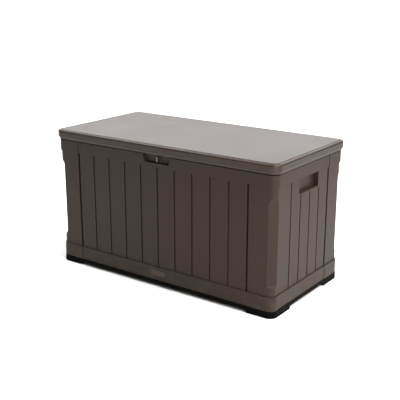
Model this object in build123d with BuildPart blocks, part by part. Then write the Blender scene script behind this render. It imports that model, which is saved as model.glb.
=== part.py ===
from build123d import *
import os

os.makedirs("parts", exist_ok=True)

# Deck storage box. Origin on the floor under the middle of the box, front towards -Y, +Z up.
# Driving dimensions, millimetres.
POST_X, POST_Y = 623.0, 303.0  # outer faces of the corner posts, half width and half depth
PANEL_SET_BACK = 1.5  # the wall panels stand this far behind the posts
BAND = 5.0  # the plain bands above and below the planks stand proud by this
FRONT_WALL, SIDE_WALL = 22.0, 30.0  # thickness of the double walls
OUTER_SKIN, INNER_SKIN = 3.2, 2.8
POST_RADIUS = 30.0

SKIRT_Z = 14.0  # underside of the base skirt between the feet
FLOOR_Z = 32.0  # the walls stand on this level
LOW_BAND_Z = 98.0
HIGH_BAND_Z = 582.0
WALL_Z = 636.0
LID_Z = 639.0
LID_TOP = 689.0

PLANK = 98.0  # plank pitch, front and back
SIDE_PLANK = 84.0  # plank pitch, sides
FRONT_SEAM = 5 * PLANK  # front panel ends here, the front posts take over
BACK_SEAM = 6 * PLANK
SIDE_FRONT_SEAM = -266.0
SIDE_REAR_SEAM = 2 * SIDE_PLANK
GROOVE, GROOVE_DEPTH, LIP_RADIUS = 8.0, 4.5, 1.2
GROOVE_LOW, GROOVE_HIGH = LOW_BAND_Z + 1.5, HIGH_BAND_Z - 1.5
SEAM_GROOVE, SEAM_DEPTH = 5.0, 9.0  # each half of the wide groove over a seam
WEB = 7.0  # solid web on each side of a groove
EASE = 1.2  # chamfer on the band edges at a seam

BASE_X, BASE_Y, BASE_RADIUS = 630.0, 310.0, 37.0
SHEET = 4.0
FOOT_X, FOOT_Y = 495.0, 160.0  # inner ends of the corner feet

FACET = 31.0  # leg of the stopped chamfer on the corners
FACET_LOW, FACET_HIGH = 154.0, 510.0
FACET_STOP_LOW, FACET_STOP_HIGH = 138.0, 538.0

HANDLE_FRONT, HANDLE_REAR = -99.0, 75.0
HANDLE_LOW, HANDLE_HIGH, HANDLE_DEPTH = 512.0, 579.0, 22.0
LATCH_TOP, LATCH_FLOOR, LATCH_LOW, LATCH_DEPTH = 78.0, 70.0, 600.0, 15.0

BEAD_X, BEAD_Y, BEAD_RADIUS = 638.0, 317.0, 45.0  # rolled rim round the lid
BEAD_LOW = 652.5
LID_X, LID_Y, LID_RADIUS = 631.0, 311.0, 37.0  # skirt of the lid below the rim
LINER_Z = 641.0
CEILING_Z = 686.0  # underside of the lid's top skin
LIP_X, LIP_Y, LIP_LOW = 586.0, 274.0, 622.0

HASP_SCREW_Y = -299.0
HINGE_X = 430.0
HINGE_Y, HINGE_Z = 319.0, 637.0
LEAF_Z = 647.0  # middle of the hinge leaf on the lid
KNUCKLE, PIN = 7.0, 2.5
RUN_FIT, SET_FIT = 0.06, 0.02

PANEL_X, PANEL_Y = POST_X - PANEL_SET_BACK, POST_Y - PANEL_SET_BACK
INNER_X, INNER_Y = PANEL_X - SIDE_WALL, PANEL_Y - FRONT_WALL
TONGUE, TONGUE_LENGTH, TONGUE_GAP = 5.0, 11.0, 0.25
TONGUE_Z = (70.0, 610.0)


def block(x, y, z, mode=Mode.ADD):
    """Rectangular block between (low, high) pairs."""
    with BuildSketch(Plane.XY.offset(z[0])) as outline:
        with Locations(((x[0] + x[1]) / 2, (y[0] + y[1]) / 2)):
            Rectangle(x[1] - x[0], y[1] - y[0])
    extrude(outline.sketch, amount=z[1] - z[0], mode=mode)


def slab(half_x, half_y, radius, low, high, mode=Mode.ADD):
    """Rounded rectangular slab centred on the origin."""
    with BuildSketch(Plane.XY.offset(low)) as outline:
        RectangleRounded(2 * half_x, 2 * half_y, radius)
    extrude(outline.sketch, amount=high - low, mode=mode)


def grooves(face, depth, centres, low=GROOVE_LOW, high=GROOVE_HIGH):
    """Round-ended plank grooves sunk from a wall plane, lips rounded; depth is signed along its normal."""
    with BuildSketch(face) as outline:
        with Locations(*[(c, (low + high) / 2) for c in centres]):
            SlotOverall(high - low, GROOVE, rotation=90)
    extrude(outline.sketch, amount=depth, mode=Mode.SUBTRACT)
    lips = [e for e in edges(Select.LAST) if abs(face.to_local_coords(e.position_at(0.5)).Z) < 0.01]
    fillet(lips, radius=LIP_RADIUS)


def seam_groove(face, depth, at, side):
    """Half of the wide groove that covers a seam, on the given side of it."""
    with BuildSketch(face) as outline:
        with Locations((at + side * SEAM_GROOVE / 2, (LOW_BAND_Z + HIGH_BAND_Z) / 2)):
            Rectangle(SEAM_GROOVE, HIGH_BAND_Z - LOW_BAND_Z)
    extrude(outline.sketch, amount=depth, mode=Mode.SUBTRACT)


FRONT_FACE = Plane.XZ.offset(PANEL_Y)
BACK_FACE = Plane.XZ.offset(-PANEL_Y)
SIDE_FACE = Plane.YZ.offset(PANEL_X)
FRONT_TONGUE_Y = (-INNER_Y - 4.5 - TONGUE, -INNER_Y - 4.5)
BACK_TONGUE_Y = (INNER_Y + 4.5, INNER_Y + 4.5 + TONGUE)
SIDE_TONGUE_X = (INNER_X + 6.0, INNER_X + 6.0 + TONGUE)


def widened(span, gap=TONGUE_GAP):
    """A span opened by the tongue clearance on both sides."""
    return (span[0] - gap, span[1] + gap)


SLOT_Z = widened(TONGUE_Z)

# ---------------------------------------------------------------- base
with BuildPart() as base_tray:
    slab(BASE_X, BASE_Y, BASE_RADIUS, SKIRT_Z, FLOOR_Z)
    fillet(base_tray.faces().sort_by(Axis.Z)[-1].edges(), radius=2.5)
    slab(BASE_X - SHEET, BASE_Y - SHEET, BASE_RADIUS - SHEET, SKIRT_Z, FLOOR_Z - SHEET, Mode.SUBTRACT)
    # rim that locates the walls from inside
    slab(INNER_X - 0.4, INNER_Y - 0.4, 4.0, FLOOR_Z, FLOOR_Z + 24.0)
    slab(INNER_X - SHEET, INNER_Y - SHEET, 3.0, FLOOR_Z, FLOOR_Z + 24.0, Mode.SUBTRACT)
    # stiffening ribs under the floor
    with BuildSketch(Plane.XY.offset(SKIRT_Z + 8.0)):
        with GridLocations(120.0, 1.0, 9, 1):
            Rectangle(3.0, 2 * (BASE_Y - SHEET) + 2.0)
        with GridLocations(1.0, 124.0, 1, 3):
            Rectangle(2 * (FOOT_X - 15.0), 3.0)
    extrude(amount=FLOOR_Z - SHEET - SKIRT_Z - 8.0)
base_tray.part.label = "base_tray"
export_step(base_tray.part, "parts/base_tray.step")

with BuildPart() as foot_front_right:
    with BuildSketch():
        RectangleRounded(2 * BASE_X, 2 * BASE_Y, BASE_RADIUS)
        with Locations(((FOOT_X + BASE_X + 10) / 2, -(FOOT_Y + BASE_Y + 10) / 2)):
            Rectangle(BASE_X + 10 - FOOT_X, BASE_Y + 10 - FOOT_Y, mode=Mode.INTERSECT)
    extrude(amount=SKIRT_Z)
    chamfer(foot_front_right.faces().sort_by(Axis.Z)[0].edges(), length=1.5)
    # hollow plug that pushes up inside the skirt
    block((FOOT_X + 10, 598.0), (-278.0, -FOOT_Y - 10), (SKIRT_Z, FLOOR_Z - SHEET))
    block((FOOT_X + 14, 594.0), (-274.0, -FOOT_Y - 14), (4.0, FLOOR_Z - SHEET), Mode.SUBTRACT)
foot_front_right.part.label = "foot_front_right"
export_step(foot_front_right.part, "parts/foot_front_right.step")

with BuildPart() as foot_front_left:
    mirror(foot_front_right.part, about=Plane.YZ)
foot_front_left.part.label = "foot_front_left"
export_step(foot_front_left.part, "parts/foot_front_left.step")

with BuildPart() as foot_rear_right:
    mirror(foot_front_right.part, about=Plane.XZ)
foot_rear_right.part.label = "foot_rear_right"
export_step(foot_rear_right.part, "parts/foot_rear_right.step")

with BuildPart() as foot_rear_left:
    mirror(foot_front_left.part, about=Plane.XZ)
foot_rear_left.part.label = "foot_rear_left"
export_step(foot_rear_left.part, "parts/foot_rear_left.step")

# ---------------------------------------------------------------- walls
with BuildPart() as front_panel:
    for low, high in ((FLOOR_Z, LOW_BAND_Z), (HIGH_BAND_Z, WALL_Z)):
        block((-FRONT_SEAM, FRONT_SEAM), (-PANEL_Y - BAND, -INNER_Y), (low, high))
    edge_face = front_panel.faces().sort_by(Axis.Y)[:2]
    chamfer(edge_face.edges(), length=EASE)
    block((-FRONT_SEAM, FRONT_SEAM), (-PANEL_Y, -INNER_Y), (FLOOR_Z, WALL_Z))
    grooves(FRONT_FACE, -GROOVE_DEPTH, [i * PLANK for i in range(-4, 5)])
    for side in (-1, 1):
        seam_groove(FRONT_FACE, -SEAM_DEPTH, side * FRONT_SEAM, -side)
    # hollow cells between the webs, open below
    for i in range(-5, 5):
        centre = (i + 0.5) * PLANK
        top = HIGH_BAND_Z + 6.0 if abs(centre) < PLANK else WALL_Z - 6.0
        block(
            (centre - PLANK / 2 + WEB, centre + PLANK / 2 - WEB),
            (-PANEL_Y + OUTER_SKIN, -INNER_Y - INNER_SKIN),
            (FLOOR_Z, top),
            Mode.SUBTRACT,
        )
    for side in (-1, 1):
        reach = sorted((side * (FRONT_SEAM - 0.1), side * (FRONT_SEAM + TONGUE_LENGTH)))
        block(reach, FRONT_TONGUE_Y, TONGUE_Z)
    # latch recess under the lid edge, undercut at its floor
    with BuildSketch(Plane.XZ.offset(PANEL_Y + BAND)):
        with BuildLine():
            Polyline(
                (-LATCH_TOP, WALL_Z + 1),
                (-LATCH_TOP, WALL_Z - 12),
                (-LATCH_FLOOR, LATCH_LOW),
                (LATCH_FLOOR, LATCH_LOW),
                (LATCH_TOP, WALL_Z - 12),
                (LATCH_TOP, WALL_Z + 1),
                close=True,
            )
        make_face()
    extrude(amount=-LATCH_DEPTH, mode=Mode.SUBTRACT)
    mouth = front_panel.edges().filter_by(Axis.X)
    mouth = mouth.filter_by_position(Axis.Z, LATCH_LOW - 0.1, LATCH_LOW + 0.1)
    fillet(mouth.sort_by(Axis.Y)[0], radius=3.0)
    with Locations((0, -PANEL_Y - BAND + LATCH_DEPTH, LATCH_LOW + 16.0)):
        with GridLocations(28.0, 1.0, 2, 1):
            Cylinder(1.5 + RUN_FIT, 12.0, rotation=(90, 0, 0), mode=Mode.SUBTRACT)
front_panel.part.label = "front_panel"
export_step(front_panel.part, "parts/front_panel.step")

with BuildPart() as back_panel:
    for low, high in ((FLOOR_Z, LOW_BAND_Z), (HIGH_BAND_Z, WALL_Z)):
        block((-BACK_SEAM, BACK_SEAM), (INNER_Y, PANEL_Y + BAND), (low, high))
    edge_face = back_panel.faces().sort_by(Axis.Y)[-2:]
    chamfer(edge_face.edges(), length=EASE)
    block((-BACK_SEAM, BACK_SEAM), (INNER_Y, PANEL_Y), (FLOOR_Z, WALL_Z))
    grooves(BACK_FACE, GROOVE_DEPTH, [i * PLANK for i in range(-5, 6)])
    for side in (-1, 1):
        seam_groove(BACK_FACE, SEAM_DEPTH, side * BACK_SEAM, -side)
    for i in range(-6, 6):
        centre = (i + 0.5) * PLANK
        at_hinge = any(abs(centre - x) < PLANK for x in (-HINGE_X, 0.0, HINGE_X))
        top = HIGH_BAND_Z - 4.0 if at_hinge else WALL_Z - 6.0
        block(
            (centre - PLANK / 2 + WEB, centre + PLANK / 2 - WEB),
            (INNER_Y + INNER_SKIN, PANEL_Y - OUTER_SKIN),
            (FLOOR_Z, top),
            Mode.SUBTRACT,
        )
    for side in (-1, 1):
        reach = sorted((side * (BACK_SEAM - 0.1), side * (BACK_SEAM + TONGUE_LENGTH)))
        block(reach, BACK_TONGUE_Y, TONGUE_Z)
    # pilot holes for the hinge screws
    for x in (-HINGE_X, 0.0, HINGE_X):
        with Locations((x, PANEL_Y + BAND, 607.0)):
            with GridLocations(56.0, 0, 2, 1):
                Cylinder(2.0 + RUN_FIT, 32.0, rotation=(90, 0, 0), mode=Mode.SUBTRACT)
back_panel.part.label = "back_panel"
export_step(back_panel.part, "parts/back_panel.step")

with BuildPart() as right_side_panel:
    for low, high in ((FLOOR_Z, LOW_BAND_Z), (HIGH_BAND_Z, WALL_Z)):
        block((INNER_X, PANEL_X + BAND), (SIDE_FRONT_SEAM, SIDE_REAR_SEAM), (low, high))
    edge_face = right_side_panel.faces().sort_by(Axis.X)[-2:]
    chamfer(edge_face.edges(), length=EASE)
    block((INNER_X, PANEL_X), (SIDE_FRONT_SEAM, SIDE_REAR_SEAM), (FLOOR_Z, WALL_Z))
    grooves(SIDE_FACE, -GROOVE_DEPTH, [-2 * SIDE_PLANK])
    grooves(SIDE_FACE, -GROOVE_DEPTH, [-SIDE_PLANK, 0.0, SIDE_PLANK], high=HANDLE_LOW - 6.0)
    seam_groove(SIDE_FACE, -SEAM_DEPTH, SIDE_REAR_SEAM, -1)
    for low, high, top in (
        (SIDE_FRONT_SEAM + 9, -2 * SIDE_PLANK - WEB, WALL_Z - 6),
        (-2 * SIDE_PLANK + WEB, HANDLE_FRONT - SHEET, WALL_Z - 6),
        (-SIDE_PLANK + WEB, -WEB, HANDLE_LOW - 6),
        (WEB, SIDE_PLANK - WEB, HANDLE_LOW - 6),
        (SIDE_PLANK + WEB, SIDE_REAR_SEAM - WEB - 3, WALL_Z - 6),
    ):
        block(
            (INNER_X + INNER_SKIN, PANEL_X - OUTER_SKIN - 0.5),
            (low, high),
            (FLOOR_Z, top),
            Mode.SUBTRACT,
        )
    # hand hold
    block(
        (PANEL_X - HANDLE_DEPTH, PANEL_X + BAND + 1),
        (HANDLE_FRONT, HANDLE_REAR),
        (HANDLE_LOW, HANDLE_HIGH),
        Mode.SUBTRACT,
    )
    mouth = right_side_panel.edges().filter_by(Axis.Y)
    mouth = mouth.filter_by_position(Axis.Z, HANDLE_LOW - 0.1, HANDLE_LOW + 0.1)
    fillet(mouth.sort_by(Axis.X)[-1], radius=3.0)
    block(SIDE_TONGUE_X, (SIDE_REAR_SEAM - 0.1, SIDE_REAR_SEAM + TONGUE_LENGTH), TONGUE_Z)
    block(SIDE_TONGUE_X, (SIDE_FRONT_SEAM - 5.0, SIDE_FRONT_SEAM + 0.1), TONGUE_Z)
right_side_panel.part.label = "right_side_panel"
export_step(right_side_panel.part, "parts/right_side_panel.step")

with BuildPart() as left_side_panel:
    mirror(right_side_panel.part, about=Plane.YZ)
left_side_panel.part.label = "left_side_panel"
export_step(left_side_panel.part, "parts/left_side_panel.step")


# ---------------------------------------------------------------- corner posts
def ease_band(seam_x, seam_y, levels):
    """Chamfers the rim of a post's band and its two ends at the seams."""
    rim = []
    for edge in edges(Select.LAST):
        middle = edge.position_at(0.5)
        outside = (
            edge.geom_type == GeomType.CIRCLE
            or abs(middle.X - POST_X - BAND) < 0.01
            or abs(abs(middle.Y) - POST_Y - BAND) < 0.01
        )
        level = any(abs(middle.Z - z) < 0.01 for z in levels)
        at_seam = abs(middle.X - seam_x) < 0.01 or abs(middle.Y - seam_y) < 0.01
        if outside and (level or at_seam):
            rim.append(edge)
    chamfer(rim, length=EASE)


def post_body(front, seam_x, seam_y):
    """Corner post with its bands and stopped chamfer; front is -1 for a front post, +1 for a rear one."""
    for low, high, proud in (
        (FLOOR_Z, LOW_BAND_Z, BAND),
        (HIGH_BAND_Z, WALL_Z, BAND),
        (FLOOR_Z, WALL_Z, 0.0),
    ):
        x, y = POST_X + proud, front * (POST_Y + proud)
        with BuildSketch(Plane.XY.offset(low)) as outline:
            with BuildLine():
                Polyline(
                    (seam_x, y),
                    (x, y),
                    (x, seam_y),
                    (INNER_X, seam_y),
                    (INNER_X, front * INNER_Y),
                    (seam_x, front * INNER_Y),
                    close=True,
                )
            make_face()
            corner = outline.vertices().sort_by(Axis.X)[-2:].sort_by(Axis.Y)[0 if front < 0 else -1]
            fillet(corner, radius=POST_RADIUS + proud)
        extrude(outline.sketch, amount=high - low)
        if proud:
            ease_band(seam_x, seam_y, (low, high))
    # flat facet across the corner, run out at both ends
    diagonal = Plane(
        origin=(POST_X, front * POST_Y, 0), x_dir=(1, front, 0), z_dir=(front, -1, 0)
    )
    deep = FACET / 2**0.5
    with BuildSketch(diagonal) as outline:
        with BuildLine():
            Polyline(
                (20, FACET_STOP_LOW),
                (-9, FACET_STOP_LOW),
                (-deep + 3, FACET_STOP_LOW + 5),
                (-deep, FACET_LOW),
                (-deep, FACET_HIGH),
                (-deep + 2.5, FACET_HIGH + 12),
                (-10, FACET_STOP_HIGH),
                (20, FACET_STOP_HIGH),
                close=True,
            )
        make_face()
    extrude(outline.sketch, amount=60, both=True, mode=Mode.SUBTRACT)


with BuildPart() as post_front_right:
    post_body(-1, FRONT_SEAM, SIDE_FRONT_SEAM)
    seam_groove(Plane.XZ.offset(POST_Y), -SEAM_DEPTH - PANEL_SET_BACK, FRONT_SEAM, 1)
    for x, y, z in (
        ((FRONT_SEAM + 10, 588.0), (-POST_Y + OUTER_SKIN, -INNER_Y - INNER_SKIN), (FLOOR_Z, WALL_Z - 6)),
        ((FRONT_SEAM - 1, FRONT_SEAM + TONGUE_LENGTH + 1), widened(FRONT_TONGUE_Y), SLOT_Z),
        (widened(SIDE_TONGUE_X), (SIDE_FRONT_SEAM - 6, SIDE_FRONT_SEAM + 1), SLOT_Z),
    ):
        block(x, y, z, Mode.SUBTRACT)
post_front_right.part.label = "post_front_right"
export_step(post_front_right.part, "parts/post_front_right.step")

with BuildPart() as post_front_left:
    mirror(post_front_right.part, about=Plane.YZ)
post_front_left.part.label = "post_front_left"
export_step(post_front_left.part, "parts/post_front_left.step")

with BuildPart() as post_rear_right:
    post_body(1, BACK_SEAM, SIDE_REAR_SEAM)
    seam_groove(Plane.YZ.offset(POST_X), -SEAM_DEPTH - PANEL_SET_BACK, SIDE_REAR_SEAM, 1)
    seam_groove(Plane.XZ.offset(-POST_Y), SEAM_DEPTH + PANEL_SET_BACK, BACK_SEAM, 1)
    for x, y, z in (
        ((INNER_X + INNER_SKIN, POST_X - OUTER_SKIN), (SIDE_REAR_SEAM + 10, 268.0), (FLOOR_Z, WALL_Z - 6)),
        (widened(SIDE_TONGUE_X), (SIDE_REAR_SEAM - 1, SIDE_REAR_SEAM + TONGUE_LENGTH + 1), SLOT_Z),
        ((BACK_SEAM - 1, BACK_SEAM + TONGUE_LENGTH + 1), widened(BACK_TONGUE_Y), SLOT_Z),
    ):
        block(x, y, z, Mode.SUBTRACT)
post_rear_right.part.label = "post_rear_right"
export_step(post_rear_right.part, "parts/post_rear_right.step")

with BuildPart() as post_rear_left:
    mirror(post_rear_right.part, about=Plane.YZ)
post_rear_left.part.label = "post_rear_left"
export_step(post_rear_left.part, "parts/post_rear_left.step")

# ---------------------------------------------------------------- fittings on the walls
LATCH_BACK = -PANEL_Y - BAND + LATCH_DEPTH
LUG_FRONT = -PANEL_Y - 3.5
LUG_Z = 620.0
SCREW_Z = LATCH_LOW + 16.0

with BuildPart() as lock_staple:
    block((-21.0, 21.0), (LATCH_BACK - 2.5, LATCH_BACK), (LATCH_LOW + 2, WALL_Z - 6))
    with BuildSketch(Plane.YZ.offset(0.4)):
        with Locations(((LUG_FRONT + LATCH_BACK - 2.0) / 2, (LATCH_LOW + 6 + WALL_Z - 3) / 2)):
            RectangleRounded(LATCH_BACK - 2.0 - LUG_FRONT, WALL_Z - 9 - LATCH_LOW, 2.0)
        with Locations(((LUG_FRONT + LATCH_BACK - 2.5) / 2, LUG_Z)):
            Circle(3.5, mode=Mode.SUBTRACT)
    extrude(amount=4.6)
    with Locations((0, LATCH_BACK, SCREW_Z)):
        with GridLocations(28.0, 1.0, 2, 1):
            Cylinder(1.5 + RUN_FIT, 12.0, rotation=(90, 0, 0), mode=Mode.SUBTRACT)
lock_staple.part.label = "lock_staple"
export_step(lock_staple.part, "parts/lock_staple.step")

with BuildPart() as staple_screws:
    with Locations((-14.0, LATCH_BACK, SCREW_Z), (14.0, LATCH_BACK, SCREW_Z)):
        with Locations((0, 1.0, 0)):
            Cylinder(1.5, 9.0, rotation=(90, 0, 0))
        with Locations((0, -3.5, 0)):
            Cylinder(3.0, 2.0, rotation=(90, 0, 0))
staple_screws.part.label = "staple_screws"
export_step(staple_screws.part, "parts/staple_screws.step")

with BuildPart() as badge:
    with BuildSketch(Plane.XZ.offset(PANEL_Y + BAND)):
        with Locations((0, (FLOOR_Z + LOW_BAND_Z) / 2)):
            RectangleRounded(85.0, 25.0, 4.0)
    extrude(amount=1.4)
badge.part.label = "badge"
export_step(badge.part, "parts/badge.step")

with BuildPart() as lid_bumpers:
    with BuildSketch(Plane.XY.offset(WALL_Z)):
        with Locations((-400, -290), (400, -290), (-607, 0), (607, 0), (-220, 290), (220, 290)):
            Circle(6.0)
    extrude(amount=LINER_Z - WALL_Z - 0.4)
lid_bumpers.part.label = "lid_bumpers"
export_step(lid_bumpers.part, "parts/lid_bumpers.step")

# ---------------------------------------------------------------- hinges
BODY_FACE = PANEL_Y + BAND


def knuckle(x, width, bore):
    """Knuckle ring with its pin bore, centred on the hinge axis at x."""
    with Locations((x, HINGE_Y, HINGE_Z)):
        Cylinder(KNUCKLE, width, rotation=(0, 90, 0))
        Cylinder(bore, width, rotation=(0, 90, 0), mode=Mode.SUBTRACT)


def body_leaf(x):
    """Leaf on the back panel: plate, two arms and two outer knuckles."""
    with BuildSketch(Plane.XZ.offset(-BODY_FACE)) as outline:
        with Locations((x, 611.0)):
            RectangleRounded(80.0, 42.0, 5.0)
    extrude(outline.sketch, amount=-3.0)
    for side in (-1, 1):
        centre = x + side * 29.5
        block((centre - 9.5, centre + 9.5), (BODY_FACE + 1, HINGE_Y), (HINGE_Z - KNUCKLE, HINGE_Z - 2))
        knuckle(centre, 19.0, PIN + SET_FIT)
        with Locations((x + side * 28.0, BODY_FACE, 607.0)):
            Cylinder(2.0 + RUN_FIT, 12.0, rotation=(90, 0, 0), mode=Mode.SUBTRACT)


def lid_leaf(x):
    """Leaf on the lid skirt: plate, web and middle knuckle."""
    with BuildSketch(Plane.XZ.offset(-LID_Y)) as outline:
        with Locations((x, LEAF_Z)):
            RectangleRounded(80.0, 9.5, 3.0)
    extrude(outline.sketch, amount=-2.5)
    block((x - 19.0, x + 19.0), (LID_Y, HINGE_Y - 2), (HINGE_Z + 3, LEAF_Z + 4.0))
    knuckle(x, 38.0, PIN + RUN_FIT)
    for side in (-1, 1):
        with Locations((x + side * 31.0, LID_Y, LEAF_Z)):
            Cylinder(1.75 + RUN_FIT, 12.0, rotation=(90, 0, 0), mode=Mode.SUBTRACT)


with BuildPart() as hinge_body_left:
    body_leaf(-HINGE_X)
hinge_body_left.part.label = "hinge_body_left"
export_step(hinge_body_left.part, "parts/hinge_body_left.step")

with BuildPart() as hinge_body_middle:
    body_leaf(0.0)
hinge_body_middle.part.label = "hinge_body_middle"
export_step(hinge_body_middle.part, "parts/hinge_body_middle.step")

with BuildPart() as hinge_body_right:
    body_leaf(HINGE_X)
hinge_body_right.part.label = "hinge_body_right"
export_step(hinge_body_right.part, "parts/hinge_body_right.step")

with BuildPart() as hinge_pins:
    with Locations(*[(x, HINGE_Y, HINGE_Z) for x in (-HINGE_X, 0.0, HINGE_X)]):
        Cylinder(PIN, 79.0, rotation=(0, 90, 0))
hinge_pins.part.label = "hinge_pins"
export_step(hinge_pins.part, "parts/hinge_pins.step")

with BuildPart() as hinge_body_screws:
    for x in (-HINGE_X, 0.0, HINGE_X):
        for side in (-1, 1):
            with Locations((x + side * 28.0, BODY_FACE - 5.0, 607.0)):
                Cylinder(2.0, 16.0, rotation=(90, 0, 0))
            with Locations((x + side * 28.0, BODY_FACE + 4.25, 607.0)):
                Cylinder(4.0, 2.5, rotation=(90, 0, 0))
hinge_body_screws.part.label = "hinge_body_screws"
export_step(hinge_body_screws.part, "parts/hinge_body_screws.step")

# ---------------------------------------------------------------- lid
with BuildPart() as lid_shell:
    slab(BEAD_X, BEAD_Y, BEAD_RADIUS, BEAD_LOW, LID_TOP - 5)
    fillet(lid_shell.faces().sort_by(Axis.Z)[-1].edges(), radius=9.0)
    fillet(lid_shell.faces().sort_by(Axis.Z)[0].edges(), radius=5.0)
    slab(LID_X, LID_Y, LID_RADIUS, LID_Z, 670.0)
    # gutter inside the rolled rim, then the raised top
    slab(BEAD_X - 12, BEAD_Y - 12, BEAD_RADIUS - 12, LID_TOP - 7, LID_TOP, Mode.SUBTRACT)
    slab(BEAD_X - 14, BEAD_Y - 14, BEAD_RADIUS - 14, LID_TOP - 8, LID_TOP)
    fillet(lid_shell.faces().sort_by(Axis.Z)[-1].edges(), radius=2.0)
    slab(LID_X - SHEET, LID_Y - SHEET, LID_RADIUS - SHEET, LID_Z, LID_TOP - 11, Mode.SUBTRACT)
    slab(BEAD_X - 24, BEAD_Y - 24, BEAD_RADIUS - 24, LID_TOP - 12, CEILING_Z, Mode.SUBTRACT)
    for x in (-HINGE_X, 0.0, HINGE_X):
        with Locations((x, LID_Y, LEAF_Z)):
            with GridLocations(62.0, 0, 2, 1):
                Cylinder(1.75 + RUN_FIT, 10.0, rotation=(90, 0, 0), mode=Mode.SUBTRACT)
lid_shell.part.label = "lid_shell"
export_step(lid_shell.part, "parts/lid_shell.step")

with BuildPart() as lid_liner:
    slab(LID_X - SHEET - 0.2, LID_Y - SHEET - 0.2, LID_RADIUS - SHEET - 0.2, LINER_Z, LINER_Z + 3)
    slab(LIP_X, LIP_Y, 12.0, LIP_LOW, LINER_Z + 1)
    slab(LIP_X - SHEET, LIP_Y - SHEET, 8.0, LIP_LOW, LINER_Z, Mode.SUBTRACT)
    # ribs between the two skins of the lid
    with BuildSketch(Plane.XY.offset(LINER_Z + 2)):
        with GridLocations(1.0, 130.0, 1, 4):
            Rectangle(1190.0, 3.0)
        with GridLocations(230.0, 1.0, 6, 1):
            Rectangle(3.0, 560.0)
    extrude(amount=CEILING_Z - LINER_Z - 2)
    with BuildSketch(Plane.XY.offset(LINER_Z)):
        with Locations((-14.0, HASP_SCREW_Y), (14.0, HASP_SCREW_Y)):
            Circle(1.5 + RUN_FIT)
    extrude(amount=3.0, mode=Mode.SUBTRACT)
lid_liner.part.label = "lid_liner"
export_step(lid_liner.part, "parts/lid_liner.step")

with BuildPart() as hinge_lid_left:
    lid_leaf(-HINGE_X)
hinge_lid_left.part.label = "hinge_lid_left"
export_step(hinge_lid_left.part, "parts/hinge_lid_left.step")

with BuildPart() as hinge_lid_middle:
    lid_leaf(0.0)
hinge_lid_middle.part.label = "hinge_lid_middle"
export_step(hinge_lid_middle.part, "parts/hinge_lid_middle.step")

with BuildPart() as hinge_lid_right:
    lid_leaf(HINGE_X)
hinge_lid_right.part.label = "hinge_lid_right"
export_step(hinge_lid_right.part, "parts/hinge_lid_right.step")

with BuildPart() as hinge_lid_screws:
    for x in (-HINGE_X, 0.0, HINGE_X):
        for side in (-1, 1):
            with Locations((x + side * 31.0, LID_Y - 0.75, LEAF_Z)):
                Cylinder(1.75, 6.5, rotation=(90, 0, 0))
            with Locations((x + side * 31.0, LID_Y + 3.5, LEAF_Z)):
                Cylinder(3.5, 2.0, rotation=(90, 0, 0))
hinge_lid_screws.part.label = "hinge_lid_screws"
export_step(hinge_lid_screws.part, "parts/hinge_lid_screws.step")

with BuildPart() as lock_hasp:
    block((-21.0, 21.0), (-306.0, LATCH_BACK - 1), (LINER_Z - 3, LINER_Z))
    with BuildSketch(Plane.YZ.offset(-0.4)):
        with Locations(((LUG_FRONT + LATCH_BACK - 2.5) / 2, (LATCH_LOW + 8 + LINER_Z - 1) / 2)):
            RectangleRounded(LATCH_BACK - 2.5 - LUG_FRONT, LINER_Z - 1 - LATCH_LOW - 8, 2.0)
        with Locations(((LUG_FRONT + LATCH_BACK - 2.5) / 2, LUG_Z)):
            Circle(3.5, mode=Mode.SUBTRACT)
    extrude(amount=-4.6)
    with BuildSketch(Plane.XY.offset(LINER_Z - 3)):
        with Locations((-14.0, HASP_SCREW_Y), (14.0, HASP_SCREW_Y)):
            Circle(1.5 + RUN_FIT)
    extrude(amount=3.0, mode=Mode.SUBTRACT)
lock_hasp.part.label = "lock_hasp"
export_step(lock_hasp.part, "parts/lock_hasp.step")

with BuildPart() as hasp_screws:
    for x in (-14.0, 14.0):
        with Locations((x, HASP_SCREW_Y, LINER_Z + 1.0)):
            Cylinder(1.5, 8.0)
        with Locations((x, HASP_SCREW_Y, LINER_Z - 4.0)):
            Cylinder(3.0, 2.0)
hasp_screws.part.label = "hasp_screws"
export_step(hasp_screws.part, "parts/hasp_screws.step")
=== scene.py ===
"""Deck storage box: visible pieces, finishes and studio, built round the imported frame."""

import logging
import math
from dataclasses import dataclass
from enum import Enum
from typing import Iterable, Sequence, Union

import bpy
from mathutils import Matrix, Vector


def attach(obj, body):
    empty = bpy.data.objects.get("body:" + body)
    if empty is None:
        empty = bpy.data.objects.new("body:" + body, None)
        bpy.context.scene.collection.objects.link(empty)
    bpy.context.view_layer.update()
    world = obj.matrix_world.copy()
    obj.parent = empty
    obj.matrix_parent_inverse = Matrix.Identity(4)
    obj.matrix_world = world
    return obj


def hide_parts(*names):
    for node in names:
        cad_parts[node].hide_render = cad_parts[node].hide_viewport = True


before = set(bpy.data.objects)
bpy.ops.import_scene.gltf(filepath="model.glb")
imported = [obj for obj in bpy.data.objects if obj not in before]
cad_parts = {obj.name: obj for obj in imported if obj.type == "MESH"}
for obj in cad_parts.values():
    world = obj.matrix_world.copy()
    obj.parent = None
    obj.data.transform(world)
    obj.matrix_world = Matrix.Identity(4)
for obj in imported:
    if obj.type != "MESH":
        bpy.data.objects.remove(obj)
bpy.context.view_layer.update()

logging.basicConfig(level=logging.INFO, format="%(name)s: %(message)s")
LOG = logging.getLogger("deck_box")

MM = 0.001
Point = Sequence[float]
Value = Union[float, "Wire"]
Colour = tuple[float, float, float]


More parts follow.
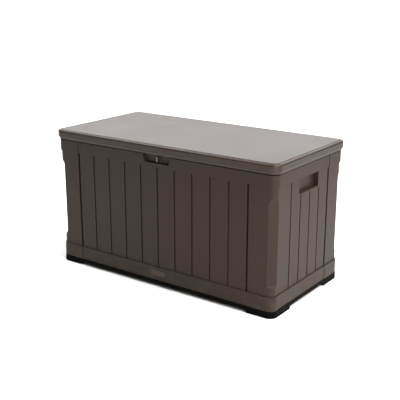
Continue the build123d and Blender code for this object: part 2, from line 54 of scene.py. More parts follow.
# ------------------------------------------------------------------ shader graph
class Wire:
    """An output socket that takes part in Python arithmetic."""

    def __init__(self, graph: "Graph", socket: bpy.types.NodeSocket) -> None:
        """Keeps the socket and the graph it belongs to."""
        self.graph = graph
        self.socket = socket

    def __add__(self, other: Value) -> "Wire":
        """Sum of two values."""
        return self.graph.maths("ADD", self, other)

    __radd__ = __add__

    def __sub__(self, other: Value) -> "Wire":
        """This value less another."""
        return self.graph.maths("SUBTRACT", self, other)

    def __rsub__(self, other: Value) -> "Wire":
        """Another value less this one."""
        return self.graph.maths("SUBTRACT", other, self)

    def __mul__(self, other: Value) -> "Wire":
        """Product of two values."""
        return self.graph.maths("MULTIPLY", self, other)

    __rmul__ = __mul__

    def ramp(self, low: float, high: float) -> "Wire":
        """Smooth step from 0 at low to 1 at high.

        Args:
            low: value where the step starts.
            high: value where it ends.

        Returns:
            The stepped value.
        """
        node = self.graph.node(
            "ShaderNodeMapRange",
            {"interpolation_type": "SMOOTHSTEP"},
            {"Value": self, "From Min": low, "From Max": high},
        )
        return Wire(self.graph, node.outputs["Result"])


class Graph:
    """One material's node tree."""

    def __init__(self, name: str) -> None:
        """Starts an empty material of that name."""
        self.material = bpy.data.materials.new(name)
        self.material.use_nodes = True
        self.tree = self.material.node_tree
        self.tree.nodes.clear()

    def node(self, kind: str, settings: dict, inputs: dict) -> bpy.types.Node:
        """Adds a node.

        Args:
            kind: the node's type name.
            settings: properties set before the sockets are filled.
            inputs: values or wires by socket name or number.

        Returns:
            The node.
        """
        node = self.tree.nodes.new(kind)
        for key, value in settings.items():
            setattr(node, key, value)
        for key, value in inputs.items():
            if isinstance(value, Wire):
                self.tree.links.new(value.socket, node.inputs[key])
            else:
                node.inputs[key].default_value = value
        return node

    def maths(self, operation: str, *values: Value) -> Wire:
        """Adds a Math node for the operation on the values."""
        node = self.node("ShaderNodeMath", {"operation": operation}, dict(enumerate(values)))
        return Wire(self, node.outputs[0])

    def place(self, stretch: Point = (1.0, 1.0, 1.0)) -> Wire:
        """Object coordinates, stretched axis by axis."""
        coords = self.node("ShaderNodeTexCoord", {}, {})
        mapping = self.node(
            "ShaderNodeMapping",
            {"vector_type": "POINT"},
            {"Vector": Wire(self, coords.outputs["Object"]), "Scale": stretch},
        )
        return Wire(self, mapping.outputs["Vector"])

    def height(self) -> Wire:
        """Height above the floor."""
        split = self.node("ShaderNodeSeparateXYZ", {}, {"Vector": self.place()})
        return Wire(self, split.outputs["Z"])

    def noise(
        self, scale: float, detail: float, stretch: Point = (1.0, 1.0, 1.0), warp: float = 0.0
    ) -> Wire:
        """Noise from 0 to 1.

        Args:
            scale: features per metre.
            detail: octaves.
            stretch: scale of each axis before the noise.
            warp: distortion.

        Returns:
            The noise value.
        """
        node = self.node(
            "ShaderNodeTexNoise",
            {},
            {"Vector": self.place(stretch), "Scale": scale, "Detail": detail, "Distortion": warp},
        )
        return Wire(self, node.outputs["Fac"])

    def cells(self, scale: float) -> Wire:
        """Distance to the nearest of many scattered points, for a pebbled skin."""
        node = self.node("ShaderNodeTexVoronoi", {}, {"Vector": self.place(), "Scale": scale})
        return Wire(self, node.outputs["Distance"])

    def blend(self, factor: Value, first: Union[Colour, Wire], second: Union[Colour, Wire]) -> Wire:
        """Mixes two colours by a factor."""
        colours = [c if isinstance(c, Wire) else (*c, 1.0) for c in (first, second)]
        node = self.node(
            "ShaderNodeMix", {"data_type": "RGBA"}, {0: factor, 6: colours[0], 7: colours[1]}
        )
        return Wire(self, node.outputs[2])

    def bump(self, height: Wire, depth: float, strength: float) -> Wire:
        """Surface relief of a depth in metres."""
        node = self.node(
            "ShaderNodeBump", {}, {"Height": height, "Distance": depth, "Strength": strength}
        )
        return Wire(self, node.outputs["Normal"])

    def surface(self, inputs: dict) -> bpy.types.Material:
        """Closes the graph with a Principled shader and returns the material."""
        shader = self.node("ShaderNodeBsdfPrincipled", {}, inputs)
        output = self.node("ShaderNodeOutputMaterial", {}, {})
        self.tree.links.new(shader.outputs["BSDF"], output.inputs["Surface"])
        return self.material


def scaled(colour: Colour, factor: float) -> Colour:
    """A colour made lighter or darker."""
    return tuple(c * factor for c in colour)


@dataclass(frozen=True)
class Resin:
    """Moulded plastic with a pebbled skin and faint drawn wood grain."""

    name: str
    colour: Colour
    roughness: float
    pebble: float = 0.25
    streak: float = 0.35
    drift: float = 0.10
    dust: float = 0.25
    grain_axis: int = 2
    gloss: float = 0.2

    def make(self) -> bpy.types.Material:
        """Builds the material."""
        g = Graph(self.name)
        stretch = [150.0, 150.0, 150.0]
        stretch[self.grain_axis] = 6.0
        streak = g.noise(1.0, 5.0, stretch, warp=1.2)
        cloud = g.noise(3.0, 3.0)
        pebble = g.cells(900.0)
        speck = g.noise(1600.0, 2.0)
        tone = cloud * 0.45 + streak * 0.55
        body = g.blend(
            tone.ramp(0.25, 0.75), scaled(self.colour, 1 - self.drift), scaled(self.colour, 1 + self.drift)
        )
        low = 1.0 - g.height().ramp(0.02, 0.20)
        dusty = low * g.noise(28.0, 4.0).ramp(0.42, 0.78) * self.dust
        pale = tuple(0.6 * c + 0.05 for c in self.colour)
        relief = pebble * self.pebble + streak * self.streak + speck * (self.pebble * 0.4)
        return g.surface(
            {
                "Base Color": g.blend(dusty, body, pale),
                "Roughness": self.roughness + (speck - 0.5) * 0.10 + (cloud - 0.5) * 0.10 + dusty * 0.25,
                "Specular IOR Level": self.gloss,
                "Normal": g.bump(relief, 0.35 * MM, 0.5),
            }
        )


@dataclass(frozen=True)
class Zinc:
    """Zinc-plated steel with fine drawn marks."""

    name: str
    colour: Colour = (0.56, 0.56, 0.55)
    roughness: float = 0.32

    def make(self) -> bpy.types.Material:
        """Builds the material."""
        g = Graph(self.name)
        spangle = g.cells(420.0)
        scratch = g.noise(1.0, 4.0, (40.0, 2200.0, 2200.0))
        return g.surface(
            {
                "Base Color": g.blend(spangle, scaled(self.colour, 0.82), scaled(self.colour, 1.1)),
                "Metallic": 1.0,
                "Roughness": self.roughness + (scratch - 0.5) * 0.25,
                "Normal": g.bump(scratch + spangle * 0.4, 0.05 * MM, 0.5),
            }
        )


@dataclass(frozen=True)
class Rubber:
    """Dull black rubber with a bloom."""

    name: str
    colour: Colour = (0.018, 0.018, 0.018)

    def make(self) -> bpy.types.Material:
        """Builds the material."""
        g = Graph(self.name)
        bloom = g.noise(90.0, 4.0)
        return g.surface(
            {
                "Base Color": g.blend(bloom.ramp(0.4, 0.8), self.colour, scaled(self.colour, 2.2)),
                "Roughness": 0.72 + (bloom - 0.5) * 0.2,
                "Normal": g.bump(g.noise(1200.0, 2.0), 0.1 * MM, 0.5),
            }
        )


BROWN: Colour = (0.028, 0.0165, 0.0115)


class Finish(Enum):
    """The finishes of the box's pieces."""

    WALL = Resin("wall_resin", BROWN, 0.46, gloss=0.175)
    LID = Resin(
        "lid_resin", BROWN, 0.36, pebble=0.14, streak=0.10, drift=0.05, dust=0.0, grain_axis=0, gloss=0.3
    )
    INSIDE = Resin("liner_resin", BROWN, 0.50, pebble=0.3, streak=0.12, grain_axis=0, dust=0.1)
    BASE = Resin(
        "base_resin", (0.0015, 0.0014, 0.0013), 0.6, streak=0.05, dust=0.05, grain_axis=0, gloss=0.03
    )
    BADGE = Resin("badge_resin", (0.050, 0.036, 0.028), 0.34, pebble=0.1, streak=0.0, dust=0.0)
    ZINC = Zinc("zinc_plate")
    LUG_STEEL = Zinc("lug_steel", (0.24, 0.23, 0.22), 0.42)
    DARK_STEEL = Zinc("dark_steel", (0.045, 0.040, 0.036), 0.5)
    RUBBER = Rubber("bumper_rubber")


MATERIALS = {finish: finish.value.make() for finish in Finish}


# ------------------------------------------------------------------ bench
class Cut(Enum):
    """What a boolean tool does to the work."""

    AWAY = "DIFFERENCE"
    TOGETHER = "UNION"


class Bench:
    """Blender's modelling operators, one hand movement each. Sizes are in millimetres."""

    @staticmethod
    def clear() -> None:
        """Leaves object mode and deselects everything."""
        if bpy.context.object and bpy.context.object.mode != "OBJECT":
            bpy.ops.object.mode_set(mode="OBJECT")
        bpy.ops.object.select_all(action="DESELECT")

    @staticmethod
    def pick(*objs: bpy.types.Object) -> None:
        """Selects only these objects, the first one active."""
        Bench.clear()
        for obj in objs:
            obj.select_set(True)
        bpy.context.view_layer.objects.active = objs[0]

    @staticmethod
    def settle(name: str) -> bpy.types.Object:
        """Names the new primitive and applies its place, turn and size."""
        obj = bpy.context.object
        obj.name = name
        bpy.ops.object.transform_apply(location=True, rotation=True, scale=True)
        return obj

    @staticmethod
    def box(name: str, low: Point, high: Point) -> bpy.types.Object:
        """A box between two corners."""
        Bench.clear()
        middle = [(a + b) / 2 * MM for a, b in zip(low, high)]
        bpy.ops.mesh.primitive_cube_add(
            size=1.0, location=middle, scale=[abs(b - a) * MM for a, b in zip(low, high)]
        )
        return Bench.settle(name)

    @staticmethod
    def rod(
        name: str, centre: Point, radius: float, length: float, axis: int, sides: int = 32
    ) -> bpy.types.Object:
        """A cylinder along one axis."""
        Bench.clear()
        turn = [(0, math.pi / 2, 0), (math.pi / 2, 0, 0), (0, 0, 0)][axis]
        bpy.ops.mesh.primitive_cylinder_add(
            vertices=sides,
            radius=radius * MM,
            depth=length * MM,
            location=[c * MM for c in centre],
            rotation=turn,
        )
        return Bench.settle(name)

    @staticmethod
    def select_edges(
        obj: bpy.types.Object, axis: int, near: Iterable[Point] = (), reach: float = 0.5
    ) -> None:
        """Selects the edges that run along an axis, all of them or those through given places.

        Args:
            obj: the work.
            axis: 0, 1 or 2 for X, Y or Z.
            near: millimetre points; None in a coordinate leaves it free.
            reach: how near the edge's middle must be, in millimetres.
        """
        Bench.pick(obj)
        mesh = obj.data
        others = [i for i in range(3) if i != axis]
        for polygon in mesh.polygons:
            polygon.select = False
        for vertex in mesh.vertices:
            vertex.select = False
        spots = list(near)
        for edge in mesh.edges:
            a, b = (mesh.vertices[i].co for i in edge.vertices)
            along = all(abs(a[i] - b[i]) < 1e-6 for i in others) and abs(a[axis] - b[axis]) > 1e-6
            middle = (a + b) / 2 / MM
            close = not spots or any(
                all(want is None or abs(middle[i] - want) < reach for i, want in enumerate(spot))
                for spot in spots
            )
            edge.select = along and close
        bpy.ops.object.mode_set(mode="EDIT")
        bpy.context.tool_settings.mesh_select_mode = (False, True, False)

    @staticmethod
    def round_edges(
        obj: bpy.types.Object, axis: int, radius: float, steps: int = 8, near: Iterable[Point] = ()
    ) -> bpy.types.Object:
        """Rounds the edges that run along an axis."""
        bpy.context.tool_settings.mesh_select_mode = (False, True, False)
        Bench.select_edges(obj, axis, near)
        bpy.ops.mesh.bevel(
            offset=radius * MM, segments=steps, profile=0.5, affect="EDGES", clamp_overlap=False
        )
        bpy.ops.object.mode_set(mode="OBJECT")
        return obj

    @staticmethod
    def slice(obj: bpy.types.Object, point: Point, normal: Point) -> bpy.types.Object:
        """Cuts away what lies on the normal's side of a plane and closes the cut."""
        Bench.pick(obj)
        bpy.ops.object.mode_set(mode="EDIT")
        bpy.ops.mesh.select_all(action="SELECT")
        bpy.ops.mesh.bisect(
            plane_co=[p * MM for p in point], plane_no=normal, use_fill=True, clear_outer=True
        )
        bpy.ops.object.mode_set(mode="OBJECT")
        return obj

    @staticmethod
    def apply(obj: bpy.types.Object, kind: str, **settings: object) -> None:
        """Adds a modifier with its settings and applies it."""
        modifier = obj.modifiers.new(kind.lower(), kind)
        for key, value in settings.items():
            setattr(modifier, key, value)
        Bench.pick(obj)
        bpy.ops.object.modifier_apply(modifier=modifier.name)

    @staticmethod
    def work(obj: bpy.types.Object, how: Cut, *tools: bpy.types.Object) -> bpy.types.Object:
        """Cuts or joins tools into the work and throws the tools away."""
        for tool in tools:
            Bench.apply(obj, "BOOLEAN", operation=how.value, solver="EXACT", object=tool)
            bpy.data.objects.remove(tool)
        return obj

    @staticmethod
    def join(name: str, *objs: bpy.types.Object) -> bpy.types.Object:
        """Joins separate shells into one object."""
        Bench.pick(*objs)
        bpy.ops.object.join()
        objs[0].name = name
        return objs[0]

    @staticmethod
    def copy(obj: bpy.types.Object, name: str, flip: Point) -> bpy.types.Object:
        """A copy with its own mesh, flipped where flip is -1."""
        Bench.pick(obj)
        bpy.ops.object.duplicate(linked=False)
        twin = bpy.context.object
        twin.name = name
        twin.scale = flip
        bpy.ops.object.transform_apply(location=True, rotation=True, scale=True)
        Bench.outwards(twin)
        return twin

    @staticmethod
    def outwards(obj: bpy.types.Object) -> None:
        """Turns every face to look out."""
        Bench.pick(obj)
        bpy.ops.object.mode_set(mode="EDIT")
        bpy.ops.mesh.select_all(action="SELECT")
        bpy.ops.mesh.normals_make_consistent(inside=False)
        bpy.ops.object.mode_set(mode="OBJECT")

    @staticmethod
    def soften(obj: bpy.types.Object, width: float, steps: int = 2, angle: float = 30.0) -> bpy.types.Object:
        """Rounds every sharp edge and shades the piece smooth."""
        Bench.apply(
            obj,
            "BEVEL",
            width=width * MM,
            segments=steps,
            limit_method="ANGLE",
            angle_limit=math.radians(angle),
            use_clamp_overlap=True,
            miter_outer="MITER_ARC",
        )
        Bench.smooth(obj)
        return obj

    @staticmethod
    def smooth(obj: bpy.types.Object, angle: float = 40.0) -> None:
        """Shades smooth below an angle and keeps flats flat."""
        Bench.pick(obj)
        bpy.ops.object.shade_smooth_by_angle(angle=math.radians(angle))
        Bench.apply(obj, "WEIGHTED_NORMAL", keep_sharp=True, weight=80)

    @staticmethod
    def deliver(obj: bpy.types.Object, finish: Finish, body: str, slot: str, *nodes: str) -> None:
        """Dresses a piece that is still bare, sets it riding and hides the imported nodes it stands for."""
        if not obj.data.materials:
            obj.data.materials.append(MATERIALS[finish])
        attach(obj, body)
        if nodes:
            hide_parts(*nodes)
        LOG.info("%s: %d faces", obj.name, len(obj.data.polygons))


# ------------------------------------------------------------------ walls
@dataclass
class Walls:
    """Plank-pattern panels between proud corner posts. Millimetres."""

    post_x: float = 623.0
    post_y: float = 303.0
    panel_x: float = 621.5
    panel_y: float = 301.5
    inner_x: float = 591.5
    inner_y: float = 279.5
    band: float = 5.0
    floor: float = 32.0
    low_band: float = 98.0
    high_band: float = 582.0
    top: float = 636.0
    plank: float = 98.0
    side_plank: float = 84.0
    side_front: float = -266.0
    side_rear: float = 168.0
    front_seam: float = 490.0
    back_seam: float = 588.0
    front_gap: float = 0.8
    side_front_gap: float = 2.4
    side_rear_gap: float = 1.8
    groove: float = 8.0
    groove_depth: float = 5.0
    side_groove_depth: float = 3.0
    groove_end: float = 1.5
    facet: float = 31.0

    def plank_zone(self, low: Point, high: Point) -> bpy.types.Object:
        """A cutter that reaches from the low band to the high one."""
        return Bench.box("zone", (low[0], low[1], self.low_band), (high[0], high[1], self.high_band))

    def groove_set(
        self, centres: Iterable[float], axis: int, face: float, high: float | None = None
    ) -> bpy.types.Object:
        """Round-ended cutters for plank grooves.

        Args:
            centres: where each groove runs.
            axis: 1 for grooves in a front or back face, 0 for a side face.
            face: signed distance of the plank plane from the middle.
            high: upper end; just under the high band where it is left out.

        Returns:
            All the cutters as one object.
        """
        half = self.groove / 2
        deep = face - math.copysign(self.groove_depth if axis == 1 else self.side_groove_depth, face)
        out = face + math.copysign(3.0, face)
        near, far = sorted((deep, out))
        low = self.low_band + self.groove_end
        high = high or self.high_band - self.groove_end
        cutters = []
        for centre in centres:
            if axis == 1:
                tool = Bench.box("groove", (centre - half, near, low), (centre + half, far, high))
            else:
                tool = Bench.box("groove", (near, centre - half, low), (far, centre + half, high))
            cutters.append(Bench.round_edges(tool, axis, half - 0.02, 6))
        return Bench.join("grooves", *cutters)

    def build(self) -> None:
        """Builds every wall piece."""
        self.front()
        self.back()
        self.sides()
        self.posts()

    def front(self) -> None:
        """Front panel with its grooves and the latch recess."""
        y, seam = self.panel_y, self.front_seam
        wall = Bench.box(
            "front_wall",
            (-seam + self.front_gap, -y - self.band, self.floor),
            (seam - self.front_gap, -self.inner_y, self.top),
        )
        Bench.work(
            wall,
            Cut.AWAY,
            self.plank_zone((-600, -y - 20), (600, -y)),
            self.groove_set([i * self.plank for i in range(-4, 5)], 1, -y),
            self.plank_zone((-seam - 5, -y - 9), (-seam + 5, -y + 9)),
            self.plank_zone((seam - 5, -y - 9), (seam + 5, -y + 9)),
        )
        recess = Bench.box("recess", (-78, -y - 20, 600), (78, -y - self.band + 15, 660))
        Bench.slice(recess, (-70, 0, 600), (-24 / 25.3, 0, -8 / 25.3))
        Bench.slice(recess, (70, 0, 600), (24 / 25.3, 0, -8 / 25.3))
        Bench.work(wall, Cut.AWAY, recess)
        Bench.round_edges(wall, 0, 3.0, 4, [(None, -y - self.band, 600)])
        Bench.soften(wall, 1.1, 3)
        Bench.deliver(wall, Finish.WALL, "box", "wall_resin", "front_panel")

    def back(self) -> None:
        """Back panel."""
        y, seam = self.panel_y, self.back_seam
        wall = Bench.box("back_wall", (-seam, self.inner_y, self.floor), (seam, y + self.band, self.top))
        Bench.work(
            wall,
            Cut.AWAY,
            self.plank_zone((-700, y), (700, y + 20)),
            self.groove_set([i * self.plank for i in range(-5, 6)], 1, y),
            self.plank_zone((-seam - 5, y - 9), (-seam + 5, y + 9)),
            self.plank_zone((seam - 5, y - 9), (seam + 5, y + 9)),
        )
        Bench.soften(wall, 1.1, 3)
        Bench.deliver(wall, Finish.WALL, "box", "wall_resin", "back_panel")

    def sides(self) -> None:
        """Both side panels, each with its hand hold."""
        x = self.panel_x
        wall = Bench.box(
            "right_wall",
            (self.inner_x, self.side_front + self.side_front_gap, self.floor),
            (x + self.band, self.side_rear - self.side_rear_gap, self.top),
        )
        hold = Bench.box("hold", (x - 22, -99, 512), (x + 20, 75, 579))
        Bench.work(
            wall,
            Cut.AWAY,
            self.plank_zone((x, -400), (x + 20, 400)),
            hold,
            self.groove_set([-2 * self.side_plank], 0, x),
            self.groove_set([-self.side_plank, 0.0, self.side_plank], 0, x, 506.0),
            self.plank_zone((x - 9, self.side_rear - 5), (x + 9, self.side_rear + 5)),
        )
        Bench.round_edges(wall, 1, 3.0, 4, [(x, None, 512)])
        left = Bench.copy(wall, "left_wall", flip=(-1, 1, 1))
        for piece, node in ((wall, "right_side_panel"), (left, "left_side_panel")):
            Bench.soften(piece, 1.1, 3)
            Bench.deliver(piece, Finish.WALL, "box", "wall_resin", node)

    def corner_block(self, low: Point, high: Point, corner: Point, radius: float) -> bpy.types.Object:
        """A block with one upright edge rounded."""
        block = Bench.box("corner", low, high)
        return Bench.round_edges(block, 2, radius, 14, [(corner[0], corner[1], None)])

    def facet_cutter(self, front: int) -> bpy.types.Object:
        """Cutter for the stopped chamfer, its ends run out in a curve."""
        cutter = Bench.box("facet", (0, -60, 137), (50, 60, 541))
        Bench.slice(cutter, (3, 0, 143), (-5 / 11.1, 0, -9.9 / 11.1))
        Bench.slice(cutter, (0, 0, 154), (-11 / 11.4, 0, -3 / 11.4))
        Bench.slice(cutter, (0, 0, 510), (-12 / 12.3, 0, 2.5 / 12.3))
        Bench.slice(cutter, (2.5, 0, 522), (-16 / 18.6, 0, 9.4 / 18.6))
        bends = [(0, None, 154), (3, None, 143), (0, None, 510), (2.5, None, 522)]
        Bench.round_edges(cutter, 1, 3.5, 5, bends)
        cutter.rotation_euler = (0, 0, math.radians(45 * front))
        deep = self.facet / 2
        cutter.location = ((self.post_x - deep) * MM, front * (self.post_y - deep) * MM, 0)
        Bench.pick(cutter)
        bpy.ops.object.transform_apply(location=True, rotation=True, scale=True)
        return cutter

    def post(self, front: int, seam_x: float, seam_y: float) -> bpy.types.Object:
        """Right-hand corner post; front is -1 for a front post and +1 for a rear one."""
        x, y, b = self.post_x, self.post_y, self.band

        def span(a: float, c: float) -> tuple[float, float]:
            """A pair in rising order."""
            return (min(a, c), max(a, c))

        y0, y1 = span(front * (y + b), seam_y)
        post = self.corner_block(
            (seam_x, y0, self.floor), (x + b, y1, self.top), (x + b, front * (y + b)), 35
        )
        core_y = span(front * y, front * 100)
        core = self.corner_block((300, core_y[0], 20), (x, core_y[1], 700), (x, front * y), 30)
        ring = self.plank_zone((400, -400), (x + 40, 400))
        Bench.work(ring, Cut.AWAY, core)
        inside = span(front * self.inner_y, front * 100)
        Bench.work(
            post,
            Cut.AWAY,
            ring,
            Bench.box("inside", (400, inside[0], 0), (self.inner_x, inside[1], 700)),
            self.facet_cutter(front),
        )
        return post

    def posts(self) -> None:
        """The four corner posts."""
        y = self.post_y
        front = self.post(-1, self.front_seam, self.side_front)
        Bench.work(front, Cut.AWAY, self.plank_zone((480, -y - 9), (495, -y + 10.5)))
        rear = self.post(1, self.back_seam, self.side_rear)
        Bench.work(
            rear,
            Cut.AWAY,
            self.plank_zone((580, y - 10.5), (593, y + 9)),
            self.plank_zone((self.post_x - 10.5, self.side_rear - 9), (self.post_x + 9, self.side_rear + 5)),
        )
        pieces = {
            "post_front_right": front,
            "post_front_left": Bench.copy(front, "left_front_post", flip=(-1, 1, 1)),
            "post_rear_right": rear,
            "post_rear_left": Bench.copy(rear, "left_rear_post", flip=(-1, 1, 1)),
        }
        for node, piece in pieces.items():
            Bench.soften(piece, 1.1, 3)
            Bench.deliver(piece, Finish.WALL, "box", "wall_resin", node)


# ------------------------------------------------------------------ base
@dataclass
class Base:
    """Black floor tray with its skirt, and four corner feet. Millimetres."""

    half_x: float = 630.0
    half_y: float = 310.0
    radius: float = 37.0
    skirt: float = 14.0
    floor: float = 32.0
    foot_x: float = 495.0
    foot_y: float = 160.0

    def rounded(
        self, half_x: float, half_y: float, radius: float, low: float, high: float
    ) -> bpy.types.Object:
        """A slab with four rounded upright edges."""
        slab = Bench.box("slab", (-half_x, -half_y, low), (half_x, half_y, high))
        return Bench.round_edges(slab, 2, radius, 12)

    def build(self) -> None:
        """Builds the tray and the feet."""
        tray = self.rounded(self.half_x, self.half_y, self.radius, self.skirt, self.floor)
        wall = 4
        hollow = self.rounded(
            self.half_x - wall, self.half_y - wall, self.radius - wall, 0, self.floor - wall
        )
        Bench.work(tray, Cut.AWAY, hollow)
        rim = self.rounded(591.1, 279.1, 4, self.floor, self.floor + 24)
        Bench.work(rim, Cut.AWAY, self.rounded(587.5, 275.5, 3, 0, 100))
        Bench.soften(tray, 2.0, 3)
        Bench.soften(rim, 0.8, 2)
        reach, foot, head = self.half_y - 3, 20, self.floor - 3
        ribs = [
            Bench.box("rib", (x - 1.5, -reach, foot), (x + 1.5, reach, head)) for x in range(-480, 481, 120)
        ]
        ribs += [Bench.box("rib", (-480, y - 1.5, foot), (480, y + 1.5, head)) for y in (-124, 0, 124)]
        treads = [
            Bench.box("tread", (-560, y - 4, self.floor - 1), (560, y + 4, self.floor + 1.6))
            for y in range(-250, 251, 50)
        ]
        for tread in treads:
            Bench.soften(tread, 1.0, 2)
        whole = Bench.join("floor_tray", tray, rim, *ribs, *treads)
        Bench.deliver(whole, Finish.BASE, "box", "base_resin", "base_tray")
        foot = self.foot()
        pieces = {
            "foot_front_right": foot,
            "foot_front_left": Bench.copy(foot, "left_front_foot", flip=(-1, 1, 1)),
            "foot_rear_right": Bench.copy(foot, "right_rear_foot", flip=(1, -1, 1)),
            "foot_rear_left": Bench.copy(foot, "left_rear_foot", flip=(-1, -1, 1)),
        }
        for node, piece in pieces.items():
            Bench.soften(piece, 1.2, 3)
            Bench.deliver(piece, Finish.BASE, "box", "base_resin", node)

    def foot(self) -> bpy.types.Object:
        """Corner foot with grip slots across its sole."""
        foot = Bench.box(
            "right_front_foot", (self.foot_x, -self.half_y, 0), (self.half_x, -self.foot_y, self.skirt)
        )
        Bench.round_edges(foot, 2, self.radius, 12, [(self.half_x, -self.half_y, None)])
        slots = [
            Bench.box("slot", (self.foot_x + 14, -290 + i * 22, -1), (self.half_x - 26, -284 + i * 22, 1.6))
            for i in range(6)
        ]
        return Bench.work(foot, Cut.AWAY, *slots)


# ------------------------------------------------------------------ lid
@dataclass
class Lid:
    """Crowned lid with a rolled rim and a coffered liner. Millimetres."""

    half_x: float = 637.0
    half_y: float = 317.0
    radius: float = 45.0
    seam: float = 639.0
    belly: float = 668.0
    crown: float = 2.4

    def profile(self, steps: Sequence[Point]) -> None:
        """Draws the face selected in edit mode in and along its normal, step by step.

        Args:
            steps: pairs of how far in and how far along the normal, in millimetres.
        """
        for inward, along in steps:
            bpy.ops.mesh.inset(thickness=max(inward, 0.0) * MM, depth=along * MM, use_even_offset=True)

    def select_face(self, obj: bpy.types.Object, up: float) -> None:
        """Selects the flat face that looks up or down, and stays in edit mode."""
        Bench.pick(obj)
        for vertex in obj.data.vertices:
            vertex.select = False
        for edge in obj.data.edges:
            edge.select = False
        for polygon in obj.data.polygons:
            polygon.select = polygon.normal.z * up > 0.99
        bpy.ops.object.mode_set(mode="EDIT")
        bpy.context.tool_settings.mesh_select_mode = (False, False, True)

    def build(self) -> None:
        """Builds the cover and the liner."""
        cover = Bench.box(
            "lid_cover",
            (-self.half_x, -self.half_y, self.belly - 15.5),
            (self.half_x, self.half_y, self.belly + 6),
        )
        Bench.round_edges(cover, 2, self.radius, 20)
        self.select_face(cover, 1)
        # rolled rim, narrow gutter, then the step up to the raised top
        self.profile(
            [
                (0.3, 2.6),
                (0.8, 2.6),
                (1.5, 2.3),
                (2.2, 1.8),
                (2.8, 1.2),
                (3.0, 0.6),
                (2.4, 0.0),
                (0.8, -0.7),
                (0.4, -0.9),
                (0.8, 0.0),
                (0.2, 1.9),
                (0.25, 0.6),
                (0.5, 0.3),
                (1.2, 0.3),
            ],
        )
        bpy.ops.object.mode_set(mode="OBJECT")
        self.select_face(cover, -1)
        # under the rim, down the skirt, round its foot and up inside
        self.profile(
            [
                (0.5, 1.2),
                (1.2, 1.0),
                (1.8, 0.6),
                (1.2, 0.5),
                (0.6, 1.0),
                (0.3, 4.6),
                (0.2, 2.0),
                (0.4, 0.6),
                (0.9, 0.3),
                (1.6, 0.0),
                (0.8, -0.4),
                (0.3, -1.0),
                (0.1, -38.0),
            ],
        )
        bpy.ops.object.mode_set(mode="OBJECT")
        self.raise_crown(cover)
        Bench.smooth(cover, 50.0)
        Bench.deliver(cover, Finish.LID, "lid", "lid_resin", "lid_shell")
        self.liner()

    def raise_crown(self, cover: bpy.types.Object) -> None:
        """Divides the top and lifts it slightly towards the middle."""
        self.select_face(cover, 1)
        heights = [v.co.z / MM for v in cover.data.vertices]
        LOG.info("lid rim at %.1f mm, foot at %.1f mm", max(heights), min(heights))
        for i in range(-9, 10):
            bpy.ops.mesh.bisect(plane_co=(i * 60 * MM, 0, 0), plane_no=(1, 0, 0))
            self.reselect_top(cover)
        for i in range(-4, 5):
            bpy.ops.mesh.bisect(plane_co=(0, i * 60 * MM, 0), plane_no=(0, 1, 0))
            self.reselect_top(cover)
        bpy.ops.object.mode_set(mode="OBJECT")
        reach = (self.half_x - 25) * MM, (self.half_y - 25) * MM
        tops = [v for v in cover.data.vertices if v.co.z > (self.belly + 12) * MM]
        flat = [v for v in tops if abs(v.co.x) <= reach[0] and abs(v.co.y) <= reach[1]]
        for vertex in flat:
            u, v = vertex.co.x / reach[0], vertex.co.y / reach[1]
            vertex.co.z += self.crown * MM * max(0.0, (1 - u**2)) ** 0.5 * max(0.0, (1 - v**2))
        LOG.info("crown raised on %d points", len(flat))

    def reselect_top(self, cover: bpy.types.Object) -> None:
        """Selects the flat top again after a cut."""
        bpy.ops.object.mode_set(mode="OBJECT")
        self.select_face(cover, 1)

    def liner(self) -> None:
        """Liner seen with the lid open: flange, locating lip and sunk panels."""
        base = Base()
        flange = base.rounded(628.6, 306.6, 34.6, 641, 645)
        lip = base.rounded(586, 274, 12, 622, 642)
        Bench.work(lip, Cut.AWAY, base.rounded(582, 270, 8, 600, 641))
        coffers = []
        for i in range(5):
            for j in range(2):
                x, y = (i - 2) * 226.0, (j - 0.5) * 256.0
                tool = Bench.box("coffer", (x - 102, y - 117, 630), (x + 102, y + 117, 643.4))
                coffers.append(Bench.round_edges(tool, 2, 18, 6))
        Bench.work(flange, Cut.AWAY, Bench.join("coffers", *coffers))
        Bench.soften(flange, 0.8, 2)
        Bench.soften(lip, 1.0, 2)
        whole = Bench.join("lid_inner", flange, lip)
        Bench.deliver(whole, Finish.INSIDE, "lid", "lid_resin", "lid_liner")


# ------------------------------------------------------------------ fittings
@dataclass
class Screws:
    """Pan-head screws with a cross recess. Millimetres."""

    shank: float
    head: float
    rise: float

    def make(self, foot: Point, axis: int, way: int) -> bpy.types.Object:
        """A screw head standing on a face.

        Args:
            foot: the point on the face under the head.
            axis: 0, 1 or 2 for the axis it looks along.
            way: +1 or -1, the way the head looks.

        Returns:
            The screw.
        """
        middle = list(foot)
        middle[axis] += way * self.rise / 2
        head = Bench.rod("screw", middle, self.head, self.rise, axis, 24)
        top = list(foot)
        top[axis] += way * self.rise
        for other in (i for i in range(3) if i != axis):
            low, high = list(top), list(top)
            for i in range(3):
                if i == axis:
                    low[i], high[i] = sorted((top[i] - way * 1.1, top[i] + way))
                else:
                    reach = self.head * (0.62 if i == other else 0.13)
                    low[i], high[i] = top[i] - reach, top[i] + reach
            Bench.work(head, Cut.AWAY, Bench.box("recess", low, high))
        Bench.soften(head, 0.35, 2)
        shank_middle = list(foot)
        shank_middle[axis] -= way * 2.0
        shank = Bench.rod("shank", shank_middle, self.shank, 4.2, axis, 16)
        return Bench.join("screw", head, shank)


